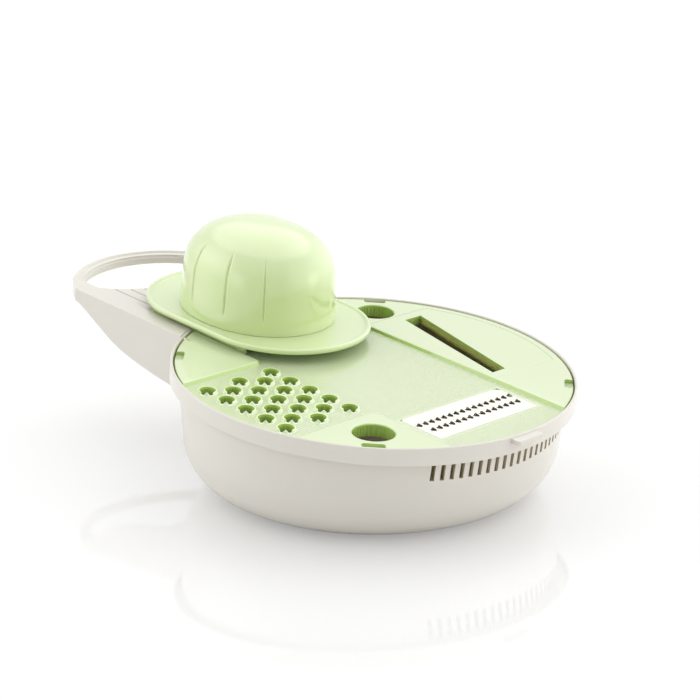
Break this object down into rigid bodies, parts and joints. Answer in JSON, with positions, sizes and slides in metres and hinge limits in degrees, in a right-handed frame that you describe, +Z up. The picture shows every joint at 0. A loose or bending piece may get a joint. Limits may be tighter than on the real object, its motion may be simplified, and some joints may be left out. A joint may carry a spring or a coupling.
{
  "type": "round mandoline slicer",
  "caption": "Round slicing and grating plate on a handled draining basin, with a domed hand guard that slides along the plate's track.",
  "frame": {"origin": "centre of the basin's foot, on the table", "axes": "+Z up, +X from the handle towards the drain slots, +Y towards the slanted slicing slot"},
  "size_m": [0.3855, 0.25, 0.1492],
  "materials": {
    "basin_plastic": "smooth cream polypropylene",
    "plate_plastic": "pale green plastic, finely knurled in the track",
    "guard_plastic": "smooth pale green plastic",
    "blade_steel": "thin stainless sheet",
    "screw_steel": "plain stainless screw",
    "pad_rubber": "matt thermoplastic rubber"
  },
  "bodies": {
    "basin": {"basin_bowl": "basin_plastic", "basin_handle": "basin_plastic", "non_slip_pad": "pad_rubber"},
    "plate": {"slicer_plate": "plate_plastic", "slicing_panel": "plate_plastic", "slicing_blade": "blade_steel", "panel_screw_1": "screw_steel", "panel_screw_2": "screw_steel", "panel_screw_3": "screw_steel", "panel_screw_4": "screw_steel", "shredder_frame": "plate_plastic", "shredder_blade": "blade_steel"},
    "guard": {"guard_brim": "guard_plastic", "guard_cap": "guard_plastic", "prong_plate": "guard_plastic", "holding_pins": "blade_steel", "guard_screw_1": "screw_steel", "guard_screw_2": "screw_steel", "guard_screw_3": "screw_steel", "guard_screw_4": "screw_steel", "holder_screw_1": "screw_steel", "holder_screw_2": "screw_steel"}
  },
  "joints": [
    {"name": "plate_lift", "type": "slide", "parent": "basin", "child": "plate", "axis": [0.0785, 0, 0.9969], "range_m": [0, 0.06]},
    {"name": "guard_slide", "type": "slide", "parent": "plate", "child": "guard", "axis": [0.9969, 0, -0.0785], "range_m": [-0.015, 0.17]}
  ]
}
